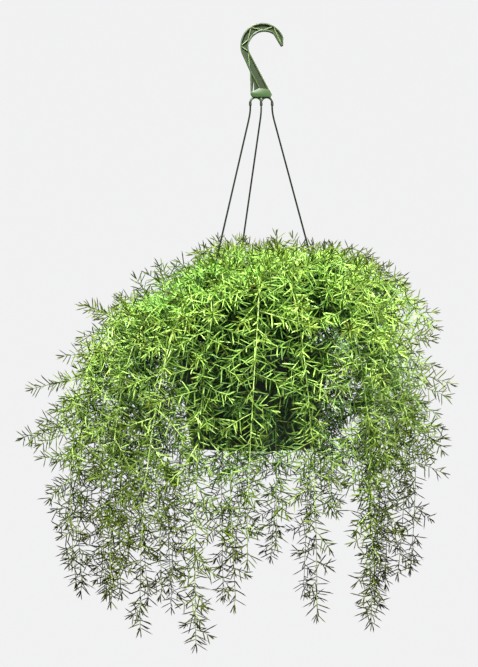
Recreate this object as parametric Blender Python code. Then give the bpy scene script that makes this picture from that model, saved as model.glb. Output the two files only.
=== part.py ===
"""Asparagus fern in a hanging pot: hook, three strands, pot, potting soil and leafy stems.

Metres, +Z up. The origin is where the crook of the hook bears on its support, +X is to the
right and +Y away from the viewer.
"""

import math
import random

import bmesh
import bpy
from mathutils import Matrix, Vector
from mathutils.geometry import interpolate_bezier

MM = 0.001
SEED = 34

# Hook: a flat moulded crook in the XZ plane, drawn in millimetres
CROOK_CENTRE = Vector((0.0, -24.3))
CROOK_RADIUS = 24.3
CROOK_SWEEP = (55, 197)
CROOK_TIP = Vector((25.0, -23.0))
BACK_CENTRE = Vector((-3.0, -21.6))
BACK_RADIUS = 33.7
BACK_SWEEP = (20, 200)
BACK_TIP = Vector((28.3, -21.8))
ARC_STEPS = 11
SHANK_LEFT = Vector((-22.2, -60.5))
SHANK_RIGHT = Vector((6.8, -88.6))
DIAGONAL_FOOT = Vector((-6.5, -88.7))
BASE_LEFT = Vector((-21.2, -95.4))
BASE_RIGHT = Vector((11.4, -95.8))
BASE_OUTLINE = (
    BASE_LEFT, Vector((-18.2, -100.4)), Vector((8.4, -100.8)), BASE_RIGHT, Vector((7.1, -88.4)),
    Vector((-8.1, -87.0)), Vector((-17.8, -91.6)), Vector((-21.2, -92.6)),
)
STAY = (Vector((-21.1, -58.5)), Vector((-20.1, -94.4)))
SLIT = (Vector((-16.4, -76.0)), Vector((-18.2, -91.0)), Vector((-15.9, -91.0)))
BRACES = (
    Vector((-24.4, -31.0)), Vector((-36.0, -22.6)), Vector((-25.5, -13.8)),
    Vector((-20.5, 5.4)), Vector((-1.8, 1.4)), Vector((13.2, 6.8)), Vector((25.6, -19.6)),
)
WEB_DEPTH = 2.0
RIM_WIDTH = 2.4
BACK_RIM_DEPTH = 10.0
CROOK_RIM_DEPTH = 9.7
STAY_WIDTH = 2.0
STAY_DEPTH = 9.3
BRACE_WIDTH = 1.8
BRACE_DEPTHS = (8.0, 7.9, 7.8)
BASE_DEPTH = 12.0

# Spreader: two arches under the base, with three sockets
ARCH_CENTRES = (-13.3, 3.3)
ARCH_LEVEL = -108.5
ARCH_RADIUS = 8.3
ARCH_WIDTH = 3.4
ARCH_DEPTHS = (5.0, 4.8)
ARCH_STEPS = 8
SOCKET_RADIUS = 2.15
SOCKET_SIDES = 10
SOCKET_TOP = -107.0
SOCKET_BOTTOM = -113.0
SOCKET_HOLE_RADIUS = 1.5
SOCKET_HOLE_DEPTH = 4.3
SOCKET_HOLE_SIDES = 8
SOCKET_X = (-21.6, -5.0, 11.6)

# Pot: a turned shell, radius and height in millimetres from the top of its rim
POT_X = -17.0
RIM_Z = -477.0
POT_OUTSIDE = (
    (115.6, 0.0), (125.6, 0.0), (127.0, -1.4), (127.0, -3.0), (117.6, -3.0), (116.0, -24.0),
    (113.5, -26.0), (95.0, -150.0), (92.0, -155.0), (86.0, -155.0), (83.0, -151.0),
)
POT_INSIDE = ((91.4, -148.6), (111.5, -26.4), (114.0, -24.0))
POT_FLOOR_TOP = -148.6
POT_FLOOR_UNDER = -151.0
POT_STEPS = 28
DRAIN_RADIUS = 4.6
DRAIN_RING = 66.0
DRAINS = 6
DRAIN_TURN = 20
CUT_SIDES = 8
CUT_PAST = 2.0
SHARP_ANGLE = 35

# Potting soil: the same inside outline, a small gap smaller, with a low mound on top
SOIL_GAP = 0.35
SOIL_EDGE = (114.0, -17.0)
SOIL_MOUND = ((62.0, -12.5),)
SOIL_TOP = -11.0
HOLE_RADIUS = 2.0
HOLE_SIDES = 5
HOLE_BOTTOM = -28.3
ROOT_Z = -28.0
LEVEL_Z = -14.0

# Strands: moulded rods from the sockets to holes in the rim
STRAND_RADIUS = 1.2
STRAND_RING = 122.2
STRAND_ANGLES = {"left": -132.0, "back": 108.0, "right": -12.0}
STRAND_SOCKETS = {"left": 0, "back": 1, "right": 2}
STRAND_DROP = 9.0
STRAND_BEND = 13.0
STRAND_SIDES = 8
RIM_HOLE_RADIUS = 1.8
RIM_THICKNESS = 3.0
KNOB_RADIUS = 3.2
KNOB_HEIGHT = 3.0
SEAT_GAP = 0.3

# Leafy stems: azimuth, reach from the pot's axis and height of the tip from the rim
TRAILING = (
    (0, 240, -330), (20, 222, -366), (41, 246, -398), (65, 228, -400), (82, 250, -345),
    (101, 230, -408), (121, 256, -425), (140, 232, -404), (160, 246, -382), (178, 262, -366),
    (198, 274, -340), (215, 252, -356), (238, 262, -385), (252, 238, -404), (271, 232, -289),
    (288, 238, -362), (313, 246, -380), (336, 236, -322),
)
ARCHING = (
    (31, 238, 0), (52, 205, -260), (72, 196, -60), (91, 186, -360), (112, 200, -90),
    (131, 215, -385), (150, 226, -330), (207, 222, -350), (226, 200, -345), (262, 186, -355),
    (282, 176, -270), (303, 196, -170), (326, 222, -90),
)
REACHING = (
    (184, 340, -137), (4, 284, -152), (351, 262, 40), (13, 236, 96), (168, 205, 0),
    (193, 236, -40),
)
CROWN = (
    (43, 146, 118), (85, 118, 122), (128, 134, 128), (205, 132, 104), (236, 124, 96),
    (268, 130, 62), (300, 118, 104), (335, 150, 114), (15, 62, 140), (140, 70, 150),
    (228, 58, 138),
)
TIERS = {"trailing": TRAILING, "arching": ARCHING, "reaching": REACHING, "crown": CROWN}
ROOT_RADIUS = {"trailing": (86, 76), "arching": (60, 50), "reaching": (66, 56), "crown": (34, 24)}
STATIONS = {"trailing": 13, "arching": 9, "reaching": 9, "crown": 7}
SHOOTS = {"trailing": 3, "arching": 3, "reaching": 2, "crown": 2}
# A curve leans out at the root and rises to its lift. Its shoulder lies at a share of the
# reach, at a height that follows the tip's by a share. Stems on the left rise less.
CURVES = {
    "trailing": {"lean": 52, "lift": 200, "out": 1.16, "shoulder": 112, "follow": 0.0},
    "arching": {"lean": 40, "lift": 225, "out": 1.10, "shoulder": 110, "follow": 0.0},
    "reaching": {"lean": 45, "lift": 190, "out": 0.66, "shoulder": 75, "follow": 1.0},
    "crown": {"lean": 14, "lift": 128, "out": 0.62, "shoulder": 38, "follow": 1.0},
}
LEFT_SLUMP = 0.35
CENTRE_REACH = 80
CENTRE_ROOT = 12
BARE = {"trailing": 4, "arching": 3, "reaching": 3, "crown": 3}
STEM_RADIUS = 1.3
STEM_TAPER = 0.965
SWAY = 24.0
NEEDLE_LENGTH = (15.0, 22.0)
NEEDLE_SPREAD = (48.0, 66.0)
WHORL_BAND = 2.0
SHOOT_LENGTH = (34.0, 56.0)
SHOOT_SPREAD = (52.0, 70.0)
SHOOT_WAIST = 0.62
SHOOT_DROOP = (0.10, 0.28)
SHOOT_TRIES = 6
SHOOT_BEND = 0.52
FIRST_SHOOT = 0.35
TIP_SHARE = 0.8
ROOTED_SHARE = 0.26
ROOTED_SHOOT = 5.0
SAMPLE = 2.5
CLEARANCE = 3.1
KEEP_INSIDE = 108.0
KEEP_OUTSIDE = 130.0
KEEP_SOIL = -7.0
KEEP_RIM = 3.0
KEEP_BASE = -158.0
DENSE = 160


def clear_scene():
    for obj in list(bpy.data.objects):
        bpy.data.objects.remove(obj, do_unlink=True)


def material(name, colour, roughness):
    made = bpy.data.materials.new(name)
    made.use_nodes = True
    shader = made.node_tree.nodes["Principled BSDF"]
    shader.inputs["Base Color"].default_value = (*colour, 1.0)
    shader.inputs["Roughness"].default_value = roughness
    made.diffuse_color = (*colour, 1.0)
    return made


def hook_plastic():
    return material("hook_plastic", (0.10, 0.25, 0.09), 0.42)


def strand_plastic():
    return material("strand_plastic", (0.025, 0.045, 0.020), 0.45)


def pot_plastic():
    return material("pot_plastic", (0.012, 0.018, 0.012), 0.5)


def soil_earth():
    return material("soil_earth", (0.050, 0.030, 0.018), 0.95)


def fern_green():
    return material("fern_green", (0.14, 0.38, 0.03), 0.6)


def add_object(bm, name, finish):
    bmesh.ops.scale(bm, vec=(MM, MM, MM), verts=bm.verts)
    mesh = bpy.data.meshes.new(name)
    bm.to_mesh(mesh)
    bm.free()
    obj = bpy.data.objects.new(name, mesh)
    bpy.context.scene.collection.objects.link(obj)
    mesh.materials.append(finish)
    return obj


def hide_helper(obj):
    obj.hide_render = True
    obj.display_type = "WIRE"


def apply_modifiers(obj):
    graph = bpy.context.evaluated_depsgraph_get()
    mesh = bpy.data.meshes.new_from_object(obj.evaluated_get(graph))
    obj.modifiers.clear()
    obj.data = mesh


def boolean(obj, operation, collection):
    step = obj.modifiers.new(operation.lower(), "BOOLEAN")
    step.operation = operation
    step.operand_type = "COLLECTION"
    step.collection = collection
    step.solver = "EXACT"
    bpy.context.view_layer.update()
    apply_modifiers(obj)
    for helper in list(collection.objects):
        bpy.data.objects.remove(helper, do_unlink=True)
    bpy.data.collections.remove(collection)


def gather(name, objects):
    """Moves the objects into a collection of their own, for a Boolean to use."""
    group = bpy.data.collections.new(name)
    bpy.context.scene.collection.children.link(group)
    for obj in objects:
        bpy.context.scene.collection.objects.unlink(obj)
        group.objects.link(obj)
        hide_helper(obj)
    return group


def arc(centre, radius, start, end, steps):
    turns = (math.radians(start + (end - start) * i / steps) for i in range(steps + 1))
    return [centre + radius * Vector((math.cos(turn), math.sin(turn))) for turn in turns]


def plate(outline, depth):
    """A flat plate: the outline in XZ, extruded to half its depth on each side."""
    bm = bmesh.new()
    corners = [bm.verts.new((p.x, -depth / 2, p.y)) for p in outline]
    face = bm.faces.new(corners)
    pushed = bmesh.ops.extrude_face_region(bm, geom=[face])["geom"]
    moved = [item for item in pushed if isinstance(item, bmesh.types.BMVert)]
    bmesh.ops.translate(bm, vec=(0, depth, 0), verts=moved)
    bmesh.ops.recalc_face_normals(bm, faces=bm.faces)
    return bm


def rib_outline(path, width):
    """Both sides of a path, half the width away from it."""
    left, right = [], []
    for i, point in enumerate(path):
        ahead = path[min(i + 1, len(path) - 1)] - point
        behind = point - path[max(i - 1, 0)]
        along = (ahead.normalized() + behind.normalized()).normalized()
        side = Vector((-along.y, along.x)) * width / 2
        left.append(point + side)
        right.append(point - side)
    return left + right[::-1]


def crook_edge():
    """The crook's inside, from the tip over the top and down the right of the shank."""
    return [CROOK_TIP, *arc(CROOK_CENTRE, CROOK_RADIUS, *CROOK_SWEEP, ARC_STEPS), SHANK_RIGHT]


def back_edge():
    """The crook's back, from the tip over the top and down the left of the shank."""
    return [BACK_TIP, *arc(BACK_CENTRE, BACK_RADIUS, *BACK_SWEEP, ARC_STEPS), SHANK_LEFT]


def beside(path, distance):
    """The path moved sideways, to the right of the way it runs."""
    return rib_outline(path, 2 * distance)[len(path):][::-1]


def rib(path, width, depth, name, finish):
    return add_object(plate(rib_outline(path, width), depth), name, finish)


def upright(name, x, bottom, top, radius, sides, finish):
    bm = bmesh.new()
    bmesh.ops.create_cone(bm, cap_ends=True, segments=sides, radius1=radius, radius2=radius,
                          depth=top - bottom, matrix=Matrix.Translation((x, 0, (bottom + top) / 2)))
    return add_object(bm, name, finish)


def crook_ribs(finish):
    """The raised rims along both edges, the stay down the left and the zigzag braces."""
    back_rim = beside(back_edge(), -RIM_WIDTH / 2) + [DIAGONAL_FOOT]
    crook_rim = beside(crook_edge(), RIM_WIDTH / 2)
    ribs = [
        rib(back_rim, RIM_WIDTH, BACK_RIM_DEPTH, "back_rim", finish),
        rib(crook_rim, RIM_WIDTH, CROOK_RIM_DEPTH, "crook_rim", finish),
        rib(STAY, STAY_WIDTH, STAY_DEPTH, "stay", finish),
    ]
    for index, ends in enumerate(zip(BRACES, BRACES[1:])):
        depth = BRACE_DEPTHS[index % len(BRACE_DEPTHS)]
        ribs.append(rib(ends, BRACE_WIDTH, depth, f"brace_{index}", finish))
    return ribs


def spreader(finish):
    """Two arches side by side and the three sockets at their feet."""
    parts = []
    for index, (x, depth) in enumerate(zip(ARCH_CENTRES, ARCH_DEPTHS)):
        bend = arc(Vector((x, ARCH_LEVEL)), ARCH_RADIUS, 0, 180, ARCH_STEPS)
        parts.append(rib(bend, ARCH_WIDTH, depth, f"arch_{index}", finish))
    for index, x in enumerate(SOCKET_X):
        parts.append(upright(f"socket_{index}", x, SOCKET_BOTTOM, SOCKET_TOP, SOCKET_RADIUS,
                             SOCKET_SIDES, finish))
    return parts


def hook_cutters(finish):
    cutters = [add_object(plate(SLIT, WEB_DEPTH * 2), "slit", finish)]
    for index, x in enumerate(SOCKET_X):
        cutters.append(upright(f"socket_hole_{index}", x, SOCKET_BOTTOM - CUT_PAST,
                               SOCKET_BOTTOM + SOCKET_HOLE_DEPTH, SOCKET_HOLE_RADIUS,
                               SOCKET_HOLE_SIDES, finish))
    return cutters


def shade(obj):
    obj.data.shade_smooth()
    obj.data.set_sharp_from_angle(angle=math.radians(SHARP_ANGLE))


def build_hook(finish):
    outline = back_edge() + [BASE_LEFT, BASE_RIGHT] + crook_edge()[::-1]
    hook = add_object(plate(outline, WEB_DEPTH), "hook", finish)
    base = add_object(plate(BASE_OUTLINE, BASE_DEPTH), "base", finish)
    parts = [base, *crook_ribs(finish), *spreader(finish)]
    boolean(hook, "UNION", gather("hook_parts", parts))
    boolean(hook, "DIFFERENCE", gather("hook_holes", hook_cutters(finish)))
    shade(hook)


def turned(outline, steps):
    """A profile of radius and height, closed on the axis, spun round the pot's axis."""
    bm = bmesh.new()
    corners = [bm.verts.new((radius, 0, height)) for radius, height in outline]
    edges = [bm.edges.new(pair) for pair in zip(corners, corners[1:])]
    bmesh.ops.spin(bm, geom=corners + edges, cent=(0, 0, 0), axis=(0, 0, 1),
                   angle=2 * math.pi, steps=steps, use_merge=True, use_duplicate=False)
    bmesh.ops.remove_doubles(bm, verts=bm.verts, dist=0.01)
    bmesh.ops.recalc_face_normals(bm, faces=bm.faces)
    bmesh.ops.translate(bm, vec=(POT_X, 0, RIM_Z), verts=bm.verts)
    return bm


def upright_cutter(name, places, radius, bottom, top, sides, finish):
    """One mesh of upright prisms, each at its place round the pot's axis."""
    bm = bmesh.new()
    for x, y in places:
        centre = (POT_X + x, y, RIM_Z + (bottom + top) / 2)
        bmesh.ops.create_cone(bm, cap_ends=True, segments=sides, radius1=radius, radius2=radius,
                              depth=top - bottom, matrix=Matrix.Translation(centre))
    return add_object(bm, name, finish)


def polar(radius, degrees):
    turn = math.radians(degrees)
    return radius * math.cos(turn), radius * math.sin(turn)


def build_pot(finish):
    outline = [(0, POT_FLOOR_TOP), *POT_INSIDE, *POT_OUTSIDE, (0, POT_FLOOR_UNDER)]
    pot = add_object(turned(outline, POT_STEPS), "pot", finish)
    drains = [polar(DRAIN_RING, 360 * i / DRAINS + DRAIN_TURN) for i in range(DRAINS)]
    rim_places = [polar(STRAND_RING, angle) for angle in STRAND_ANGLES.values()]
    cutters = [
        upright_cutter("drains", drains, DRAIN_RADIUS, POT_FLOOR_UNDER - CUT_PAST,
                       POT_FLOOR_TOP + CUT_PAST, CUT_SIDES, finish),
        upright_cutter("rim_holes", rim_places, RIM_HOLE_RADIUS, -RIM_THICKNESS - CUT_PAST,
                       CUT_PAST, CUT_SIDES, finish),
    ]
    boolean(pot, "DIFFERENCE", gather("pot_holes", cutters))
    shade(pot)


def build_soil(roots, finish):
    inside = [(radius - SOIL_GAP, height) for radius, height in POT_INSIDE]
    outline = [(0, POT_FLOOR_TOP + SOIL_GAP), (inside[0][0], POT_FLOOR_TOP + SOIL_GAP)]
    outline += [*inside[1:], SOIL_EDGE, *SOIL_MOUND, (0, SOIL_TOP)]
    soil = add_object(turned(outline, POT_STEPS), "potting_soil", finish)
    cutter = upright_cutter("stem_holes", roots, HOLE_RADIUS, HOLE_BOTTOM, 0, HOLE_SIDES,
                            finish)
    boolean(soil, "DIFFERENCE", gather("soil_holes", [cutter]))


def prism(bm, start, end, radius, sides):
    """A closed prism between two points. It returns the face at its far end."""
    along = end - start
    turn = along.to_track_quat("Z", "Y").to_matrix().to_4x4()
    place = Matrix.Translation((start + end) / 2) @ turn
    made = bmesh.ops.create_cone(bm, cap_ends=True, segments=sides, radius1=radius,
                                 radius2=radius, depth=along.length, matrix=place)
    faces = {face for vert in made["verts"] for face in vert.link_faces}
    return max(faces, key=lambda face: face.calc_center_median().dot(along))


def grow(bm, face, target, heading, scale=1.0):
    """Extrudes a face to the target, turned to the heading. Returns it and the new walls."""
    face.normal_update()
    turn = face.normal.rotation_difference(heading)
    centre = face.calc_center_median()
    offsets = [turn @ (vert.co - centre) * scale for vert in face.verts]
    made = bmesh.ops.extrude_discrete_faces(bm, faces=[face])["faces"][0]
    for vert, offset in zip(made.verts, offsets):
        vert.co = target + offset
    made.normal_update()
    walls = [next(f for f in edge.link_faces if f is not made) for edge in made.edges]
    return made, walls


def strand_path(side):
    top = Vector((SOCKET_X[STRAND_SOCKETS[side]], 0, SOCKET_BOTTOM))
    x, y = polar(STRAND_RING, STRAND_ANGLES[side])
    hole = Vector((POT_X + x, y, RIM_Z))
    down = Vector((0, 0, -1))
    return [
        top - down * (SOCKET_HOLE_DEPTH - SEAT_GAP), top + down * STRAND_DROP,
        top + down * STRAND_BEND + (hole - top).normalized() * 3,
        hole - down * 9, hole - down * 4, hole + down * (RIM_THICKNESS + SEAT_GAP),
    ]


def build_strand(side, finish):
    bm = bmesh.new()
    path = strand_path(side)
    face = prism(bm, path[0], path[1], STRAND_RADIUS, STRAND_SIDES)
    for before, point, after in zip(path[1:], path[2:], path[3:] + [None]):
        heading = (point - before).normalized()
        if after:
            heading = (heading + (after - point).normalized()).normalized()
        face, _ = grow(bm, face, point, heading)
    down = Vector((0, 0, -1))
    flare = KNOB_RADIUS / STRAND_RADIUS
    face, _ = grow(bm, face, path[-1], down, flare)
    face, _ = grow(bm, face, path[-1] + down * KNOB_HEIGHT * 0.6, down)
    face, _ = grow(bm, face, path[-1] + down * KNOB_HEIGHT, down, 0.6)
    bmesh.ops.recalc_face_normals(bm, faces=bm.faces)
    shade(add_object(bm, f"hanger_strand_{side}", finish))


class Thicket:
    """Points along everything placed so far, in cells, to keep new growth clear of it."""

    def __init__(self):
        self.cells = {}

    def cell(self, point):
        return tuple(int(math.floor(value / CLEARANCE)) for value in point)

    def add(self, start, end, owner):
        for point, _ in samples(start, end):
            self.cells.setdefault(self.cell(point), []).append((point, owner))

    def near(self, point):
        x, y, z = self.cell(point)
        for i in (x - 1, x, x + 1):
            for j in (y - 1, y, y + 1):
                for k in (z - 1, z, z + 1):
                    yield from self.cells.get((i, j, k), ())

    def is_clear(self, start, end, owner, rooted):
        """Whether a shoot has room. Its rooted length may touch the stem that it grows on."""
        for point, along in samples(start, end):
            if in_pot(point):
                return False
            for other, stem in self.near(point):
                close = (other - point).length < CLEARANCE
                if close and (stem != owner or along > rooted):
                    return False
        return True


def samples(start, end):
    """Points along a line with their distances from its start."""
    length = (end - start).length
    count = max(1, math.ceil(length / SAMPLE))
    for i in range(count + 1):
        yield start.lerp(end, i / count), length * i / count


def in_pot(point):
    """Whether a point is in or close to the pot or the soil."""
    radius = math.hypot(point.x - POT_X, point.y)
    height = point.z - RIM_Z
    top = KEEP_SOIL if radius < KEEP_INSIDE else KEEP_RIM
    return radius < KEEP_OUTSIDE and KEEP_BASE < height < top


def curve_ends(tier, azimuth, reach, tip, root):
    """The four control points of a stem's curve, as distance out and height."""
    curve = CURVES[tier]
    rise = 1 - LEFT_SLUMP * max(0.0, -math.cos(math.radians(azimuth)))
    shoulder = curve["shoulder"] * rise + curve["follow"] * tip
    return (
        (root, LEVEL_Z), (root + curve["lean"], curve["lift"] * rise),
        (reach * curve["out"], shoulder), (reach, tip),
    )


def stem_path(tier, index, spec):
    """Points at even spacing from the root to the tip, in world millimetres."""
    azimuth, reach, tip = spec
    draw = random.Random(SEED * 1000 + index)
    root = CENTRE_ROOT if reach < CENTRE_REACH else ROOT_RADIUS[tier][index % 2]
    ends = [Vector((out, 0, height)) for out, height in curve_ends(tier, azimuth, reach, tip, root)]
    flat = interpolate_bezier(*ends, DENSE)
    sway, phase = draw.uniform(-SWAY, SWAY), draw.uniform(0.8, 1.6)
    for i, point in enumerate(flat):
        share = i / (DENSE - 1)
        point.y = sway * share * (0.5 + share) * math.sin(math.pi * phase * share)
    place = Matrix.Translation((POT_X, 0, RIM_Z)) @ Matrix.Rotation(math.radians(azimuth), 4, "Z")
    buried = Vector((root, 0, ROOT_Z))
    return even_points([place @ point for point in (buried, *flat)], STATIONS[tier])


def even_points(path, count):
    """The path's first two bends kept, and the rest read at even spacing."""
    lengths = [0.0]
    for before, after in zip(path[1:], path[2:]):
        lengths.append(lengths[-1] + (after - before).length)
    points, place = [path[0]], 0
    for i in range(count + 1):
        wanted = lengths[-1] * i / count
        while place < len(lengths) - 2 and lengths[place + 1] < wanted:
            place += 1
        share = (wanted - lengths[place]) / (lengths[place + 1] - lengths[place])
        points.append(path[place + 1].lerp(path[place + 2], min(share, 1.0)))
    return points


def leaning(wall, heading, degrees):
    """A direction out of a wall, at an angle from the way the shoot grows."""
    outward = (wall.normal - heading * wall.normal.dot(heading)).normalized()
    turn = math.radians(degrees)
    return (outward * math.sin(turn) + heading * math.cos(turn)).normalized()


def add_needle(bm, wall, heading, owner, thicket, draw):
    """A pointed needle raised on a wall, where it has room."""
    start = wall.calc_center_median()
    direction = leaning(wall, heading, draw.uniform(*NEEDLE_SPREAD))
    length = draw.uniform(*NEEDLE_LENGTH)
    end = start + direction * length
    if thicket.is_clear(start, end, owner, length * ROOTED_SHARE):
        point = bmesh.ops.poke(bm, faces=[wall])["verts"][0]
        point.co = end
        thicket.add(start, end, owner)


def add_whorl(bm, walls, heading, owner, thicket, draw):
    for wall in walls:
        wall.normal_update()
        add_needle(bm, wall, heading, owner, thicket, draw)


def add_shoot(bm, wall, heading, owner, thicket, draw):
    """A side shoot with two whorls of needles and one at its tip, where it has room."""
    wall.normal_update()
    start = wall.calc_center_median()
    for _ in range(SHOOT_TRIES):
        length = draw.uniform(*SHOOT_LENGTH)
        direction = leaning(wall, heading, draw.uniform(*SHOOT_SPREAD))
        droop = Vector((0, 0, -draw.uniform(*SHOOT_DROOP)))
        middle = start + direction * length * SHOOT_BEND
        bent = (direction + droop).normalized()
        end = middle + bent * length * (1 - SHOOT_BEND)
        tip = end + bent * draw.uniform(*NEEDLE_LENGTH) * TIP_SHARE
        first_clear = thicket.is_clear(start, middle, owner, ROOTED_SHOOT)
        if first_clear and thicket.is_clear(middle, tip, owner, 0):
            break
    else:
        add_needle(bm, wall, heading, owner, thicket, draw)
        return
    thicket.add(start, middle, owner)
    thicket.add(middle, tip, owner)
    face = wall
    for point, way, taper in ((middle, direction, SHOOT_WAIST), (end, bent, 0.95)):
        face, _ = grow(bm, face, point - way * WHORL_BAND, way, taper)
        face, walls = grow(bm, face, point, way)
        add_whorl(bm, walls, way, owner, thicket, draw)
    point = bmesh.ops.poke(bm, faces=[face])["verts"][0]
    point.co = tip


def build_stem(name, tier, index, path, thicket, finish):
    """A three-sided stem grown along its path, with whorls of needles and side shoots."""
    draw = random.Random(SEED * 2000 + index)
    bm = bmesh.new()
    face = prism(bm, path[0], path[1], STEM_RADIUS, 3)
    last = len(path) - 1
    bare = BARE[tier]
    leafy = list(range(bare, last))
    step = len(leafy) / SHOOTS[tier]
    shooting = {leafy[int(step * (i + FIRST_SHOOT))] for i in range(SHOOTS[tier])}
    for station in range(2, last + 1):
        before, point = path[station - 1], path[station]
        heading = (point - before).normalized()
        if station < last:
            heading = (heading + (path[station + 1] - point).normalized()).normalized()
        face, _ = grow(bm, face, point, heading, STEM_TAPER)
        if station < bare:
            continue
        face, walls = grow(bm, face, point + heading * WHORL_BAND, heading)
        if station in shooting:
            chosen = walls.pop(draw.randrange(len(walls)))
            add_shoot(bm, chosen, heading, name, thicket, draw)
        add_whorl(bm, walls, heading, name, thicket, draw)
    tip = bmesh.ops.poke(bm, faces=[face])["verts"][0]
    tip.co = pointed(path)
    bmesh.ops.recalc_face_normals(bm, faces=bm.faces)
    add_object(bm, name, finish)


def pointed(path):
    """Where the needle at a stem's tip ends."""
    return path[-1] + (path[-1] - path[-2]).normalized() * NEEDLE_LENGTH[0]


def stem_specs():
    """Every leafy stem: its name, tier, number over all and spec."""
    index = 0
    for tier, rows in TIERS.items():
        for number, spec in enumerate(rows, 1):
            yield f"{tier}_stem_{number:02d}", tier, index, spec
            index += 1


def build():
    clear_scene()
    build_hook(hook_plastic())
    strand_finish = strand_plastic()
    for side in STRAND_ANGLES:
        build_strand(side, strand_finish)
    build_pot(pot_plastic())
    stems = list(stem_specs())
    paths = {name: stem_path(tier, index, spec) for name, tier, index, spec in stems}
    roots = [(path[0].x - POT_X, path[0].y) for path in paths.values()]
    build_soil(roots, soil_earth())
    thicket = Thicket()
    routes = {name: path + [pointed(path)] for name, path in paths.items()}
    routes.update({side: strand_path(side) for side in STRAND_ANGLES})
    for owner, route in routes.items():
        for start, end in zip(route, route[1:]):
            thicket.add(start, end, owner)
    leaf_finish = fern_green()
    for name, tier, index, _ in stems:
        build_stem(name, tier, index, paths[name], thicket, leaf_finish)


build()
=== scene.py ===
# Asparagus fern in a hanging pot: the finished look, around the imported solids.
# Lengths are in millimetres until a mesh is finished, then in metres.
import math
import random

import bmesh
import bpy
import numpy
from mathutils import Matrix, Vector, noise
from mathutils.geometry import interpolate_bezier


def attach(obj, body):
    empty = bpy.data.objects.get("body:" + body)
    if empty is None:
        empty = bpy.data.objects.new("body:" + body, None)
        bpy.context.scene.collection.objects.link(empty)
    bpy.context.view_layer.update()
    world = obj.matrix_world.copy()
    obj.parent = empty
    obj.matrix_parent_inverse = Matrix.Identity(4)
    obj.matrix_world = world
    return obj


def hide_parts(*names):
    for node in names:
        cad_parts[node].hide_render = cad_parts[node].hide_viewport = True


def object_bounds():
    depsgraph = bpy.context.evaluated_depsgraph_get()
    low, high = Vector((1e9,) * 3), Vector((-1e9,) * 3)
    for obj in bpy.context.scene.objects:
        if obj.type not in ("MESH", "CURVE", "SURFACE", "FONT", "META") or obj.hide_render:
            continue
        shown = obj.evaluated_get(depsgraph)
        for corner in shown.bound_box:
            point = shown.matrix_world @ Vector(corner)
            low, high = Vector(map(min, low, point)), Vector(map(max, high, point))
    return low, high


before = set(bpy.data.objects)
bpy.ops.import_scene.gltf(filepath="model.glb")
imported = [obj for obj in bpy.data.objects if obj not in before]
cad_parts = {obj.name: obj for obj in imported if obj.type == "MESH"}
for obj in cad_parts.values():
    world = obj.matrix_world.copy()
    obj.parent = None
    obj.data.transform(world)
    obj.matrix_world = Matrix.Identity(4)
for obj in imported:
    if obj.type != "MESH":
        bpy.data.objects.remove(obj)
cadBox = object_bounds()
up = Vector((0, 0, 1))
perMetre = 1000  # millimetres


def toMesh(bm, name):
    mesh = bpy.data.meshes.new(name)
    bm.to_mesh(mesh)
    bm.free()
    return mesh


# Turns an outline of radii and heights round the Z axis, for the stage, the pot and the soil
def turnedProfile(bm, outline, steps, join=0.01):
    verts = [bm.verts.new((radius, 0, z)) for radius, z in outline]
    edges = [bm.edges.new(pair) for pair in zip(verts, verts[1:])]
    bmesh.ops.spin(bm, geom=verts + edges, cent=(0, 0, 0), axis=(0, 0, 1),
                   angle=math.tau, steps=steps, use_merge=True)
    bmesh.ops.remove_doubles(bm, verts=bm.verts, dist=join)
    bmesh.ops.recalc_face_normals(bm, faces=bm.faces)


# Camera, light and backdrop, in metres. A light is its name, place, size and power
studio = {
    "lens": 90.0, "distance": 2.535, "aim": Vector((-0.0388, 0.0, -0.4593)),
    "floorZ": -2.5, "stageRadius": 8.0, "wallTop": 14.0, "stageCurve": 2.2,
    "stageColour": (0.012, 0.012, 0.012), "stageGlow": (0.875, 0.877, 0.885),
    "curveSteps": 10, "stageSides": 72, "join": 0.0001,
    "worldColour": (0.97, 0.985, 1.0), "worldStrength": 0.18,
    "lights": (
        ("key", (-0.6, -2.15, 1.7), 0.6, 300), ("fill", (1.6, -2.4, 0.0), 1.0, 60),
        ("top", (0.2, 0.2, 2.2), 0.9, 100), ("rim", (0.9, 2.4, 0.9), 1.6, 70),
    ),
}


def aimAt(obj, target):
    obj.rotation_euler = (target - obj.location).to_track_quat("-Z", "Y").to_euler()


def softLight(name, place, size, power):
    data = bpy.data.lights.new(name, "AREA")
    data.shape = "DISK"
    data.size = size
    data.energy = power
    light = bpy.data.objects.new(name, data)
    bpy.context.scene.collection.objects.link(light)
    light.location = place
    aimAt(light, studio["aim"])


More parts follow.
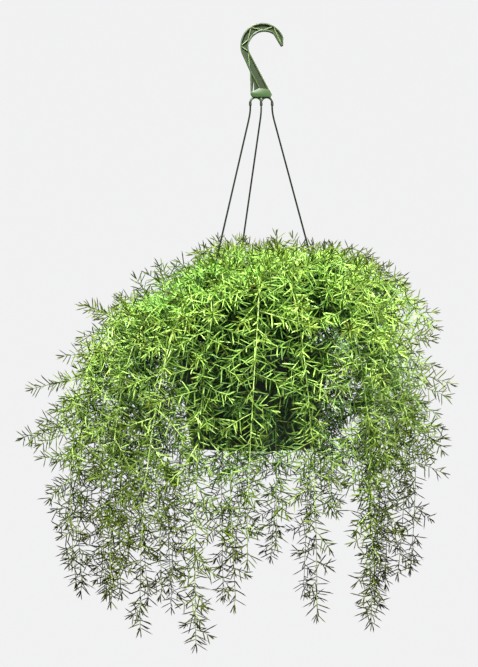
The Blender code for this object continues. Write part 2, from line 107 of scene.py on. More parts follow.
def makeStudio():
    scene = bpy.context.scene
    camera = bpy.data.objects.new("camera", bpy.data.cameras.new("camera"))
    scene.collection.objects.link(camera)
    camera.data.lens = studio["lens"]
    camera.location = studio["aim"] + Vector((0, -studio["distance"], 0))
    aimAt(camera, studio["aim"])
    scene.camera = camera
    scene.view_settings.view_transform = "Standard"

    world = bpy.data.worlds.new("studio")
    world.use_nodes = True
    sky = world.node_tree.nodes["Background"]
    sky.inputs["Color"].default_value = (*studio["worldColour"], 1)
    sky.inputs["Strength"].default_value = studio["worldStrength"]
    scene.world = world

    # A round stage: the floor curves up into a wall all round
    bm = bmesh.new()
    radius, bend, floor = studio["stageRadius"], studio["stageCurve"], studio["floorZ"]
    steps = studio["curveSteps"]
    turns = [math.radians(90 * i / steps - 90) for i in range(steps + 1)]
    profile = [(radius - bend + bend * math.cos(t), floor + bend + bend * math.sin(t))
               for t in turns]
    profile = [(0, floor), *profile, (radius, studio["wallTop"])]
    turnedProfile(bm, profile, studio["stageSides"], studio["join"])
    bmesh.ops.reverse_faces(bm, faces=bm.faces)
    mesh = toMesh(bm, "stage")
    mesh.shade_smooth()
    stage = bpy.data.objects.new("stage", mesh)
    scene.collection.objects.link(stage)
    paint = bpy.data.materials.new("stagePaint")
    paint.use_nodes = True
    shader = paint.node_tree.nodes["Principled BSDF"]
    shader.inputs["Base Color"].default_value = (*studio["stageColour"], 1)
    shader.inputs["Roughness"].default_value = 1.0
    shader.inputs["Specular IOR Level"].default_value = 0.0
    shader.inputs["Emission Color"].default_value = (*studio["stageGlow"], 1)
    shader.inputs["Emission Strength"].default_value = 1.0
    mesh.materials.append(paint)
    stage.visible_diffuse = False
    stage.visible_glossy = False
    stage.visible_shadow = False

    for row in studio["lights"]:
        softLight(*row)


makeStudio()
print("studio ready")


# Shared making
def finishMesh(bm, name, materials, smooth=True, angle=35):
    # A mesh in millimetres becomes an object in metres
    bmesh.ops.scale(bm, vec=(1 / perMetre,) * 3, verts=bm.verts)
    mesh = toMesh(bm, name)
    obj = bpy.data.objects.new(name, mesh)
    bpy.context.scene.collection.objects.link(obj)
    for made in materials:
        mesh.materials.append(made)
    if smooth:
        mesh.shade_smooth()
        mesh.set_sharp_from_angle(angle=math.radians(angle))
    return obj


def standIn(piece, slot, *nodes):
    # The piece takes the place of its nodes on the one body
    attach(piece, "root")
    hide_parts(*nodes)


def combine(obj, operation, others):
    # A Boolean with each of the others, applied, and they are then removed
    for other in others:
        step = obj.modifiers.new("step", "BOOLEAN")
        step.operation = operation
        step.object = other
        step.solver = "MANIFOLD"
    graph = bpy.context.evaluated_depsgraph_get()
    made = bpy.data.meshes.new_from_object(obj.evaluated_get(graph))
    obj.modifiers.clear()
    old, obj.data = obj.data, made
    bpy.data.meshes.remove(old)
    for other in others:
        bpy.data.objects.remove(other, do_unlink=True)


def recoat(piece, finish, angle):
    # One finish over what Booleans made, smooth but for edges sharper than the angle
    piece.data.materials.clear()
    piece.data.materials.append(finish)
    piece.data.shade_smooth()
    piece.data.set_sharp_from_angle(angle=math.radians(angle))


def placedPrism(bm, start, end, radius, sides):
    along = end - start
    turn = along.to_track_quat("Z", "Y").to_matrix().to_4x4()
    made = bmesh.ops.create_cone(bm, cap_ends=True, segments=sides, radius1=radius,
                                 radius2=radius, depth=along.length,
                                 matrix=Matrix.Translation((start + end) / 2) @ turn)
    faces = {face for vert in made["verts"] for face in vert.link_faces}
    return max(faces, key=lambda face: face.calc_center_median().dot(along))


def growFace(bm, face, target, heading, scale=1.0):
    # Extrudes a face to the target, turned to face along the heading
    face.normal_update()
    turn = face.normal.rotation_difference(heading)
    centre = face.calc_center_median()
    offsets = [turn @ (vert.co - centre) * scale for vert in face.verts]
    made = bmesh.ops.extrude_discrete_faces(bm, faces=[face])["faces"][0]
    for vert, offset in zip(made.verts, offsets):
        vert.co = target + offset
    made.normal_update()
    return made


def growRod(bm, path, radius, sides, endRadius=None):
    # A rod of even or tapering radius along a path. It returns its end face
    face = placedPrism(bm, path[0], path[1], radius, sides)
    taper = 1.0 if endRadius is None else (endRadius / radius) ** (1 / max(1, len(path) - 2))
    for i in range(2, len(path)):
        heading = (path[i] - path[i - 1]).normalized()
        if i < len(path) - 1:
            heading = (heading + (path[i + 1] - path[i]).normalized()).normalized()
        face = growFace(bm, face, path[i], heading, taper)
    return face


def newMaterial(name):
    # A material, its nodes and links, its shader and the object's coordinates
    made = bpy.data.materials.new(name)
    made.use_nodes = True
    nodes, links = made.node_tree.nodes, made.node_tree.links
    where = nodes.new("ShaderNodeTexCoord").outputs["Object"]
    return made, nodes, links, nodes["Principled BSDF"], where


def ramp(nodes, links, source, stops):
    made = nodes.new("ShaderNodeValToRGB")
    bar = made.color_ramp
    while len(bar.elements) < len(stops):
        bar.elements.new(0.5)
    for element, (place, colour) in zip(bar.elements, stops):
        element.position = place
        element.color = (*colour, 1)
    links.new(source, made.inputs["Fac"])
    return made.outputs["Color"]


def noiseOn(nodes, links, source, scale, detail=3.0):
    made = nodes.new("ShaderNodeTexNoise")
    made.inputs["Scale"].default_value = scale
    made.inputs["Detail"].default_value = detail
    links.new(source, made.inputs["Vector"])
    return made.outputs["Fac"]


def feed(links, socket, value):
    # A socket is linked to another one, or takes a fixed value
    if isinstance(value, bpy.types.NodeSocket):
        links.new(value, socket)
    else:
        socket.default_value = value


def mathNode(nodes, links, operation, *values):
    made = nodes.new("ShaderNodeMath")
    made.operation = operation
    for socket, value in zip(made.inputs, values):
        feed(links, socket, value)
    return made.outputs["Value"]


def mixColours(nodes, links, first, second, blend="MIX", share=1.0):
    # Two colours mixed. Each colour, and the share, is a socket or a fixed value
    made = nodes.new("ShaderNodeMix")
    made.data_type = "RGBA"
    made.blend_type = blend
    for name, value in (("Factor", share), ("A", first), ("B", second)):
        feed(links, made.inputs[name], value)
    return made.outputs["Result"]


def mapRange(nodes, links, source, low, high):
    made = nodes.new("ShaderNodeMapRange")
    made.inputs["From Min"].default_value = low
    made.inputs["From Max"].default_value = high
    links.new(source, made.inputs["Value"])
    return made.outputs["Result"]


def bumpFrom(nodes, links, height, shader, strength, distance):
    bump = nodes.new("ShaderNodeBump")
    bump.inputs["Strength"].default_value = strength
    bump.inputs["Distance"].default_value = distance
    links.new(height, bump.inputs["Height"])
    links.new(bump.outputs["Normal"], shader.inputs["Normal"])


plastic = {
    "spread": (0.32, 0.68), "glossier": 0.07, "duller": 0.10, "grainDetail": 2.0,
    "bump": 0.12, "bumpDepth": 0.0002,
}


def mouldedPlastic(name, dark, light, roughness, grain, streak):
    # Satin moulded plastic: two close colours, a fine grain and uneven gloss
    made, nodes, links, shader, where = newMaterial(name)
    patches = noiseOn(nodes, links, where, streak)
    colour = ramp(nodes, links, patches, list(zip(plastic["spread"], (dark, light))))
    links.new(colour, shader.inputs["Base Color"])
    gloss = nodes.new("ShaderNodeMapRange")
    gloss.inputs["To Min"].default_value = roughness - plastic["glossier"]
    gloss.inputs["To Max"].default_value = roughness + plastic["duller"]
    links.new(patches, gloss.inputs["Value"])
    links.new(gloss.outputs["Result"], shader.inputs["Roughness"])
    fine = noiseOn(nodes, links, where, grain, plastic["grainDetail"])
    bumpFrom(nodes, links, fine, shader, plastic["bump"], plastic["bumpDepth"])
    return made


# Hook and spreader, drawn in the XZ plane as in the solids
hook = {
    # The crook's inner and outer arcs: centre, radius, sweep and steps
    "crook": ((0.0, -24.3), 24.3, (55, 197), 40), "crookTip": (25.0, -23.0),
    "back": ((-3.0, -21.6), 33.7, (20, 200), 40), "backTip": (28.3, -21.8),
    "shankLeft": (-22.2, -60.5), "shankRight": (6.8, -88.6), "diagonalFoot": (-6.5, -88.7),
    "baseLeft": (-21.2, -95.4), "baseRight": (11.4, -95.8),
    "baseOutline": (
        (-21.2, -95.4), (-18.2, -100.4), (8.4, -100.8), (11.4, -95.8), (7.1, -88.4),
        (-8.1, -87.0), (-17.8, -91.6), (-21.2, -92.6),
    ),
    "stay": ((-21.1, -58.5), (-20.1, -94.4)),
    "slit": ((-16.4, -76.0), (-18.2, -91.0), (-15.9, -91.0)),
    "braces": (
        (-22.9, -57.0), (-24.4, -31.0), (-36.0, -22.6), (-25.5, -13.8), (-20.5, 5.4),
        (-1.8, 1.4), (13.2, 6.8), (25.6, -19.6),
    ),
    "web": 2.0, "rimWidth": 2.2, "backDepth": 10.0, "crookDepth": 9.7,
    "stayWidth": 2.0, "stayDepth": 9.3, "braceWidth": 1.5, "braceDepth": 8.0, "baseDepth": 12.0,
    "edgeRound": 0.45, "baseRound": 1.0, "archRound": 0.9, "socketRound": 0.4,
    "braceStep": 0.1, "archStep": 0.2, "cutSpare": 2.0, "sharpAngle": 32,
    "archX": (-13.3, 3.3), "archZ": -108.5, "archRadius": 8.3, "archWidth": 3.2,
    "archDepth": 5.0, "archSteps": 28,
    "socketX": (-21.6, -5.0, 11.6), "socketTop": -107.0, "socketBottom": -113.0,
    "socketRadius": 2.1, "holeRadius": 1.5, "holeDepth": 4.3, "socketSides": 28,
    # Colours from the web out to the base, by how far they stand from the middle in metres: painted
    # shade in the recessed web, a painted highlight on the braces, darker on the rims
    "reliefShadeAndHighlight": (
        (0.20, (0.014, 0.027, 0.008)), (0.50, (0.032, 0.072, 0.023)),
        (0.65, (0.150, 0.205, 0.085)), (0.79, (0.036, 0.058, 0.021)),
        (0.93, (0.032, 0.072, 0.023)),
    ),
    "reliefDepth": 0.006, "footColour": (0.015, 0.026, 0.010), "footTop": -0.104,
    "footFade": 0.003,
    # Two tints, then the roughness and the scales of the grain and the streaks
    "olive": (1.0, 0.84, 0.62), "green": (0.78, 0.92, 0.80), "surface": (0.38, 900, 30),
    "specular": 0.30,
}


def arcPoints(centre, radius, sweep, steps):
    start, end = (math.radians(angle) for angle in sweep)
    turns = (start + (end - start) * i / steps for i in range(steps + 1))
    return [Vector(centre) + radius * Vector((math.cos(t), math.sin(t))) for t in turns]


def besidePath(path, distance):
    # The path moved to the left of its own direction
    path, moved = [Vector(point) for point in path], []
    for i, point in enumerate(path):
        ahead = path[min(i + 1, len(path) - 1)] - point
        behind = point - path[max(i - 1, 0)]
        along = (ahead.normalized() + behind.normalized()).normalized()
        moved.append(point + Vector((-along.y, along.x)) * distance)
    return moved


def bandOutline(path, width):
    return besidePath(path, width / 2) + besidePath(path, -width / 2)[::-1]


def roundEdges(bm, axis, offset):
    # Bevels the edges whose ends are level along an axis
    level = [e for e in bm.edges if abs(e.verts[0].co[axis] - e.verts[1].co[axis]) < 0.01]
    bmesh.ops.bevel(bm, geom=level, offset=offset, segments=2, profile=0.5,
                    affect="EDGES", material=-1)


def roundedPlate(name, outline, depth, edge=0.0):
    # An outline in XZ given a depth, with its front and back edges rounded
    bm = bmesh.new()
    face = bm.faces.new([bm.verts.new((x, -depth / 2, z)) for x, z in outline])
    pushed = bmesh.ops.extrude_face_region(bm, geom=[face])["geom"]
    moved = [item for item in pushed if isinstance(item, bmesh.types.BMVert)]
    bmesh.ops.translate(bm, vec=(0, depth, 0), verts=moved)
    bmesh.ops.recalc_face_normals(bm, faces=bm.faces)
    if edge:
        roundEdges(bm, 1, edge)
    return finishMesh(bm, name, ())


def rib(name, path, width, depth, edge=hook["edgeRound"]):
    return roundedPlate(name, bandOutline(path, width), depth, edge)


def uprightRound(name, x, bottom, top, radius, edge=0.0):
    bm = bmesh.new()
    bmesh.ops.create_cone(bm, cap_ends=True, segments=hook["socketSides"], radius1=radius,
                          radius2=radius, depth=top - bottom,
                          matrix=Matrix.Translation((x, 0, (bottom + top) / 2)))
    if edge:
        roundEdges(bm, 2, edge)
    return finishMesh(bm, name, ())


def makeHook(finish):
    crook = [hook["crookTip"], *arcPoints(*hook["crook"]), hook["shankRight"]]
    back = [hook["backTip"], *arcPoints(*hook["back"]), hook["shankLeft"]]
    outline = back + [hook["baseLeft"], hook["baseRight"]] + crook[::-1]
    piece = roundedPlate("hookBody", outline, hook["web"])
    width = hook["rimWidth"]
    parts = [
        roundedPlate("base", hook["baseOutline"], hook["baseDepth"], hook["baseRound"]),
        rib("backRim", besidePath(back, width / 2) + [hook["diagonalFoot"]], width,
            hook["backDepth"]),
        rib("crookRim", besidePath(crook, -width / 2), width, hook["crookDepth"]),
        rib("stay", hook["stay"], hook["stayWidth"], hook["stayDepth"]),
    ]
    for i, ends in enumerate(zip(hook["braces"], hook["braces"][1:])):
        depth = hook["braceDepth"] - hook["braceStep"] * (i % 3)
        parts.append(rib("brace", ends, hook["braceWidth"], depth))
    for i, x in enumerate(hook["archX"]):
        bend = arcPoints((x, hook["archZ"]), hook["archRadius"], (0, 180), hook["archSteps"])
        depth = hook["archDepth"] - hook["archStep"] * i
        parts.append(rib("arch", bend, hook["archWidth"], depth, hook["archRound"]))
    bottom = hook["socketBottom"]
    for x in hook["socketX"]:
        parts.append(uprightRound("socket", x, bottom, hook["socketTop"],
                                  hook["socketRadius"], hook["socketRound"]))
    combine(piece, "UNION", parts)
    cuts = [roundedPlate("slit", hook["slit"], hook["web"] * 2)]
    for x in hook["socketX"]:
        cuts.append(uprightRound("hole", x, bottom - hook["cutSpare"],
                                 bottom + hook["holeDepth"], hook["holeRadius"]))
    combine(piece, "DIFFERENCE", cuts)
    recoat(piece, finish, hook["sharpAngle"])
    standIn(piece, "hook_plastic", "hook")


def hookMaterial():
    # Painted shade in the recessed web, a painted highlight pale on the braces, darker on the rims
    # and at the feet
    made = mouldedPlastic("hookGreen", hook["olive"], hook["green"], *hook["surface"])
    nodes, links = made.node_tree.nodes, made.node_tree.links
    shader = nodes["Principled BSDF"]
    shader.inputs["Specular IOR Level"].default_value = hook["specular"]
    mottle = shader.inputs["Base Color"].links[0].from_socket
    parts = nodes.new("ShaderNodeSeparateXYZ")
    links.new(nodes.new("ShaderNodeTexCoord").outputs["Object"], parts.inputs["Vector"])
    depth = mathNode(nodes, links, "ABSOLUTE", parts.outputs["Y"])
    depth = mapRange(nodes, links, depth, 0.0, hook["reliefDepth"])
    # Painted shade dark in the recessed web and a painted highlight pale on the braces, by distance
    # from the middle
    reliefShadeAndHighlight = ramp(nodes, links, depth, hook["reliefShadeAndHighlight"])
    footTop = hook["footTop"]
    feet = mapRange(nodes, links, parts.outputs["Z"], footTop, footTop - hook["footFade"])
    footed = mixColours(nodes, links, reliefShadeAndHighlight, (*hook["footColour"], 1), share=feet)
    tinted = mixColours(nodes, links, footed, mottle, "MULTIPLY")
    links.new(tinted, shader.inputs["Base Color"])
    return made


makeHook(hookMaterial())
print("hook made")


# Pot and its soil. Heights are from the top of the rim, radii from the pot's axis
pot = {
    "x": -17.0, "rimZ": -477.0, "steps": 112,
    "outside": (
        (115.5, -0.8), (116.0, -0.2), (117.0, 0.0), (125.0, 0.0), (126.2, -0.4), (126.9, -1.2),
        (127.0, -2.2), (126.6, -2.9), (125.9, -3.0), (118.4, -3.0), (117.6, -3.6), (117.4, -5.0),
        (116.1, -22.6), (115.8, -24.2), (114.4, -25.4), (113.6, -26.6), (113.2, -28.5),
        (104.0, -90.0), (95.2, -148.4), (94.2, -152.2), (92.6, -154.6), (91.4, -155.0),
        (86.8, -155.0), (85.4, -154.4), (83.6, -151.6), (82.0, -151.0),
    ),
    "inside": ((90.2, -148.6), (91.4, -147.6), (111.3, -27.4), (111.9, -25.8), (114.0, -24.0)),
    "floorTop": -148.6, "floorUnder": -151.0,
    "drainRadius": 4.6, "drainRing": 66.0, "drains": 6, "drainTurn": 20,
    "drainCut": (-153.0, -146.6), "drainSides": 24,
    "strandRing": 122.2, "holeRadius": 1.8, "holeCut": (-5.0, 2.0), "holeSides": 20,
    "dark": (0.003, 0.006, 0.003), "light": (0.007, 0.012, 0.006), "surface": (0.42, 700, 14),
    "sharpAngle": 38,
}
soil = {
    "rings": 26, "edge": 113.9, "edgeZ": -17.0, "topZ": -11.0, "bottomZ": -148.2,
    "bottomRadius": 89.5, "bellyZ": -27.0, "bellyRadius": 110.4, "seed": 5,
    # The crumbs' height, their scales and shares, and how sharply they end at the edge
    "crumbHeight": 1.5, "crumbs": ((0.11, 1.0), (0.31, 0.6)), "edgeEase": 6,
    # Perlite, then bark chips: how many, their sizes, how flat they are, and their finish
    "grains": ((170, (0.8, 2.0), 0.8, 1), (130, (1.5, 4.2), 0.35, 2)),
    "grainReach": 0.97, "grainWidth": (0.6, 0.95), "grainSunk": 0.3, "warpScale": 0.9,
    "warp": 0.3, "smoothAngle": 60,
    # Each finish: two colours, the scale of its crumbs, roughness and height of the bump
    "finishes": {
        "peat": ((0.010, 0.006, 0.004), (0.075, 0.045, 0.026), 260, 0.95, 0.0012),
        "perliteGrain": ((0.55, 0.53, 0.48), (0.82, 0.80, 0.75), 500, 0.9, 0.0003),
        "barkChip": ((0.045, 0.022, 0.012), (0.16, 0.085, 0.045), 300, 0.85, 0.0005),
    },
    "spread": (0.30, 0.72), "detail": 6.0, "bump": 0.8,
}
rimCentre = Vector((pot["x"], 0, pot["rimZ"]))
strandAngles = {"left": -132.0, "back": 108.0, "right": -12.0}
strandSockets = {"left": 0, "back": 1, "right": 2}


def polarPoint(radius, degrees, z=0.0):
    turn = math.radians(degrees)
    return Vector((radius * math.cos(turn), radius * math.sin(turn), z))


def uprightCuts(name, places, radius, bottom, top, sides):
    bm = bmesh.new()
    for place in places:
        centre = rimCentre + place + up * (bottom + top) / 2
        bmesh.ops.create_cone(bm, cap_ends=True, segments=sides, radius1=radius, radius2=radius,
                              depth=top - bottom, matrix=Matrix.Translation(centre))
    return finishMesh(bm, name, ())


def makePot(finish):
    bm = bmesh.new()
    outline = [(0, pot["floorTop"]), *pot["inside"], *pot["outside"], (0, pot["floorUnder"])]
    turnedProfile(bm, outline, pot["steps"])
    bmesh.ops.translate(bm, vec=rimCentre, verts=bm.verts)
    piece = finishMesh(bm, "nurseryPot", ())
    drains = [polarPoint(pot["drainRing"], 360 * i / pot["drains"] + pot["drainTurn"])
              for i in range(pot["drains"])]
    holes = [polarPoint(pot["strandRing"], angle) for angle in strandAngles.values()]
    combine(piece, "DIFFERENCE", [
        uprightCuts("drains", drains, pot["drainRadius"], *pot["drainCut"], pot["drainSides"]),
        uprightCuts("rimHoles", holes, pot["holeRadius"], *pot["holeCut"], pot["holeSides"]),
    ])
    recoat(piece, finish, pot["sharpAngle"])
    standIn(piece, "pot_plastic", "pot")


def soilHeight(radius, angle):
    # The mound's height with its crumbs, from the top of the rim
    share = radius / soil["edge"]
    mound = soil["topZ"] + (soil["edgeZ"] - soil["topZ"]) * share ** 2
    place = Vector((radius * math.cos(angle), radius * math.sin(angle), 0))
    crumbs = sum(part * noise.noise(place * scale) for scale, part in soil["crumbs"])
    return mound + soil["crumbHeight"] * crumbs * (1 - share ** soil["edgeEase"])


def scatter(bm, count, sizes, squash, finish, draw):
    for _ in range(count):
        radius = soil["edge"] * soil["grainReach"] * math.sqrt(draw.random())
        angle = draw.uniform(0, math.tau)
        size = draw.uniform(*sizes)
        turned = draw.uniform(0, math.tau)
        turn = Matrix.Rotation(turned, 4, Vector((draw.random(), draw.random(), 1)))
        width = size * draw.uniform(*soil["grainWidth"])
        shape = Matrix.Diagonal((size, width, size * squash, 1))
        height = soilHeight(radius, angle) + size * squash * soil["grainSunk"]
        spot = polarPoint(radius, math.degrees(angle), height)
        made = bmesh.ops.create_icosphere(bm, subdivisions=1, radius=1.0,
                                          matrix=Matrix.Translation(spot) @ turn @ shape)
        for vert in made["verts"]:
            vert.co += noise.noise_vector(vert.co * soil["warpScale"]) * size * soil["warp"]
            for face in vert.link_faces:
                face.material_index = finish


def makeSoil(finishes):
    bm = bmesh.new()
    rings = [(soil["edge"] * i / soil["rings"], 0.0) for i in range(soil["rings"] + 1)]
    outline = [*rings, (soil["bellyRadius"], soil["bellyZ"]),
               (soil["bottomRadius"], soil["bottomZ"]), (0, soil["bottomZ"])]
    turnedProfile(bm, outline, pot["steps"])
    for vert in bm.verts:
        if vert.co.z > soil["bellyZ"] / 2:
            radius = math.hypot(vert.co.x, vert.co.y)
            vert.co.z = soilHeight(radius, math.atan2(vert.co.y, vert.co.x))
    noise.seed_set(soil["seed"])  # or the grains are warped anew each run
    draw = random.Random(soil["seed"])
    for grain in soil["grains"]:
        scatter(bm, *grain, draw)
    bmesh.ops.translate(bm, vec=rimCentre, verts=bm.verts)
    piece = finishMesh(bm, "pottingMix", finishes, angle=soil["smoothAngle"])
    standIn(piece, "soil", "potting_soil")


def earthMaterial(name, dark, light, scale, roughness, bump):
    made, nodes, links, shader, where = newMaterial(name)
    crumbs = noiseOn(nodes, links, where, scale, soil["detail"])
    colour = ramp(nodes, links, crumbs, list(zip(soil["spread"], (dark, light))))
    links.new(colour, shader.inputs["Base Color"])
    shader.inputs["Roughness"].default_value = roughness
    bumpFrom(nodes, links, crumbs, shader, soil["bump"], bump)
    return made


makePot(mouldedPlastic("potGreen", pot["dark"], pot["light"], *pot["surface"]))
makeSoil([earthMaterial(name, *values) for name, values in soil["finishes"].items()])
print("pot and soil made")


# Hanger strands
strand = {
    "radius": 1.35, "sides": 14, "drop": 3.0, "kink": 11.0, "bend": 24.0, "handle": 0.67,
    "bendPoints": 7, "runSteps": 22, "aboveHole": 9.0, "intoHole": 4.0,
    "rimThickness": 3.0, "seat": 0.3, "knobRadius": 3.2, "knobNeck": 0.9,
    "knob": ((0.3, 1 / 0.9), (1.6, 1.0), (2.4, 0.88), (2.85, 0.75), (3.0, 0.6)),
    "collar": 2.1, "collarTop": 0.8, "collarHeight": 1.2,
    "dark": (0.003, 0.007, 0.003), "light": (0.008, 0.014, 0.006), "surface": (0.45, 900, 24),
    "specular": {"left": 0.05, "back": 0.45, "right": 0.05},
}


def strandPath(side, hole):
    # Out of the spreader's foot, round a soft bend, then straight to the hole in the rim
    top = Vector((hook["socketX"][strandSockets[side]], 0, hook["socketBottom"]))
    low = hole + up * strand["aboveHole"]
    kink = top - up * strand["kink"]
    eased = kink.lerp(low, (strand["bend"] - strand["kink"]) / (kink - low).length)
    start = top - up * strand["drop"]
    handles = (point.lerp(kink, strand["handle"]) for point in (start, eased))
    path = [top + up * (hook["holeDepth"] - strand["seat"])]
    path += interpolate_bezier(start, *handles, eased, strand["bendPoints"])
    steps = strand["runSteps"]
    path += [eased.lerp(low, i / steps) for i in range(1, steps + 1)]
    path += [hole + up * strand["intoHole"], hole - up * (strand["rimThickness"] + strand["seat"])]
    return path


def makeStrand(side, finish):
    hole = rimCentre + polarPoint(pot["strandRing"], strandAngles[side])
    path = strandPath(side, hole)
    bm = bmesh.new()
    face = growRod(bm, path, strand["radius"], strand["sides"])
    seat, down = path[-1], -up
    neck = strand["knobRadius"] * strand["knobNeck"] / strand["radius"]
    face = growFace(bm, face, seat, down, neck)
    for drop, scale in strand["knob"]:
        face = growFace(bm, face, seat + down * drop, down, scale)
    # A collar where the strand goes through the rim
    bmesh.ops.create_cone(bm, cap_ends=True, segments=strand["sides"], radius1=strand["collar"],
                          radius2=strand["collar"] * strand["collarTop"],
                          depth=strand["collarHeight"], matrix=Matrix.Translation(hole + up))
    bmesh.ops.recalc_face_normals(bm, faces=bm.faces)
    piece = finishMesh(bm, f"hangerStrand{side.capitalize()}", [finish])
    standIn(piece, "strand_plastic", f"hanger_strand_{side}")


for side in strandAngles:
    strandGreen = mouldedPlastic(f"strandGreen{side.capitalize()}", strand["dark"],
                                 strand["light"], *strand["surface"])
    shader = strandGreen.node_tree.nodes["Principled BSDF"]
    shader.inputs["Specular IOR Level"].default_value = strand["specular"][side]
    makeStrand(side, strandGreen)
print("strands made")


# Leafy stems
fern = {
    # The rows and the curve are those of the solids: azimuth, reach and tip height
    "seed": 34, "sway": 24.0, "swayFrom": 0.5, "swayPhase": (0.8, 1.6), "rootZ": -28.0,
    "levelZ": -14.0, "dense": 160, "centreReach": 80, "centreRoot": 12, "leftSlump": 0.35,
    "rows": {
        "trailing": (
            (0, 240, -330), (20, 222, -366), (41, 246, -398), (65, 228, -400), (82, 250, -345),
            (101, 230, -408), (121, 256, -425), (140, 232, -404), (160, 246, -382),
            (178, 262, -366), (198, 274, -340), (215, 252, -356), (238, 262, -385),
            (252, 238, -404), (271, 232, -289), (288, 238, -362), (313, 246, -380),
            (336, 236, -322),
        ),
        "arching": (
            (31, 238, 0), (52, 205, -260), (72, 196, -60), (91, 186, -360), (112, 200, -90),
            (131, 215, -385), (150, 226, -330), (207, 222, -350), (226, 200, -345),
            (262, 186, -355), (282, 176, -270), (303, 196, -170), (326, 222, -90),
        ),
        "reaching": (
            (184, 340, -137), (4, 284, -152), (351, 262, 40), (13, 236, 96), (168, 205, 0),
            (193, 236, -40),
        ),
        "crown": (
            (43, 146, 118), (85, 118, 122), (128, 134, 128), (205, 132, 104), (236, 124, 96),
            (268, 130, 62), (300, 118, 104), (335, 150, 114), (15, 62, 140), (140, 70, 150),
            (228, 58, 138),
        ),
    },
    # How full each stem is near its root, halfway and near its tip
    "fullness": {
        "trailing": (
            (0.9, 0.8, 0.7), (1, 0.8, 0.7), (1, 1.5, 1.2), (1, 0.9, 0.7), (1, 1, 0.7), (1, 0.8, 0.7),
            (1.1, 0.8, 0.7), (0.9, 0.8, 0.7), (0.9, 0.8, 1.4), (0.9, 0.8, 1.1), (0.9, 0.8, 0.7),
            (0.9, 0.8, 0.7), (1, 0.8, 0.7), (1, 1.5, 1.3), (1, 0.8, 0.7), (1, 1.1, 0.7),
            (0.9, 1.5, 1.5), (0.9, 0.8, 0.7),
        ),
        "arching": (
            (1, 0.9, 1), (0.9, 1, 1.4), (0.9, 0.8, 1), (1, 0.8, 0.7), (1, 0.9, 1), (1, 0.8, 0.7),
            (0.9, 0.8, 0.8), (0.9, 0.8, 1.3), (1, 0.8, 0.7), (1, 0.8, 0.7), (0.9, 0.8, 0.7),
            (0.9, 0.8, 0.9), (1, 1, 0.9),
        ),
        "reaching": (
            (1, 0.8, 0.7), (1, 0.8, 0.7), (1, 0.8, 1.5), (1, 0.8, 0.7), (1, 0.8, 0.7), (1, 0.8, 0.7),
        ),
        "crown": (
            (1, 1, 1.2), (1, 1.1, 1.5), (1, 1.1, 1.5), (1, 1, 1.2), (1, 1, 1), (1, 1, 1), (1, 1, 1.1),
            (1, 0.9, 1), (1, 1, 0.7), (1, 1, 0.7), (1, 1, 1),
        ),
    },
    "roots": {"trailing": (86, 76), "arching": (60, 50), "reaching": (66, 56), "crown": (34, 24)},
    "curves": {
        "trailing": (52, 200, 1.16, 112, 0.0), "arching": (40, 225, 1.10, 110, 0.0),
        "reaching": (45, 190, 0.66, 75, 1.0), "crown": (14, 128, 0.62, 38, 1.0),
    },
    "drawSeed": 500, "stemRadius": 1.25, "stemEnd": 0.45, "stemSides": 5, "stemStep": 14.0,
    # Side shoots: where they start and end, how far apart, and how their size grows and falls
    "bareLength": {"trailing": 55, "arching": 45, "reaching": 50, "crown": 34},
    "bareEnd": 8.0, "tuftBack": 8.0,
    "sprigGap": {"trailing": 15.0, "arching": 14.0, "reaching": 14.0, "crown": 11.0},
    "gapRange": (0.75, 1.25), "fullAbove": -170.0, "fullGap": 0.62,
    "growth": 0.9, "growthFrom": 0.12, "growthPower": 0.7, "sizeRange": (0.55, 1.1),
    "lean": (52.0, 86.0), "golden": 137.5, "turnRange": (-25, 25), "sag": 0.12,
    # Needles on the stem itself
    "whorlFrom": 0.7, "whorlEnd": 2.0, "whorlGap": 7.5, "perWhorl": 2, "leastFull": 0.7,
    "whorlRange": (0.8, 1.2),
    # Where leaves may be: inside the box and the dome, and outside the pot and the soil
    "boxGrow": 6.0, "needleRoom": 14.0, "domeTop": 180.0, "domeFall": 0.0012,
    "potRadius": 127, "potFoot": -155, "overRim": 2, "soilEdge": 110, "overSoil": -9,
    "spare": 2.0, "middleSpare": 4.0,
}
sprig = {
    "lengths": (18, 30, 44, 60, 78), "variants": 4, "gap": 6.0, "gapRange": (0.8, 1.25),
    "coreRadius": 0.70, "coreEnd": 0.40, "coreSides": 3, "coreStep": 13,
    "droop": 0.11, "droopRange": (-0.2, 1.7), "wander": 0.06, "seed": 40,
    "firstPlace": (3.0, 6.0), "ahead": 0.05, "turnRange": (-12, 12), "tipLess": 0.22,
    "needleLength": (17.0, 27.0), "spread": (50.0, 84.0), "perNode": (2, 3),
    "tuft": 3, "tuftTurn": 20, "tuftLean": (8, 26), "tuftLength": (11, 16), "tuftBack": 0.5,
    "tuftFrom": 0.9,
}
needle = {
    "variants": 13, "base": 0.82, "belly": 0.98, "flat": 0.75, "bend": 0.84,
    "bodyLength": 0.62, "bodyCentre": 0.41, "bodyBend": 0.35, "rootZ": -0.02, "tipBend": -0.9,
}


# A slightly curved, flattened needle of unit length along Z, pointed at both ends
def needleMesh(name, bend, tone):
    bm = bmesh.new()
    bmesh.ops.create_cone(bm, cap_ends=True, segments=3, radius1=needle["base"],
                          radius2=needle["belly"], depth=needle["bodyLength"],
                          matrix=Matrix.Translation((bend * needle["bodyBend"], 0,
                                                     needle["bodyCentre"])))
    caps = sorted((f for f in bm.faces if abs(f.normal.z) > 0.9),
                  key=lambda f: f.calc_center_median().z)
    poked = bmesh.ops.poke(bm, faces=caps)["verts"]
    low, high = sorted(poked, key=lambda vert: vert.co.z)
    low.co = Vector((0, 0, needle["rootZ"]))
    high.co = Vector((bend * needle["tipBend"], 0, 1.0))
    bmesh.ops.scale(bm, vec=(1, needle["flat"], 1), verts=bm.verts)
    alongLayer, toneLayer = growthLayers(bm)
    for vert in bm.verts:
        vert[alongLayer], vert[toneLayer] = vert.co.z, tone
    return toMesh(bm, name)


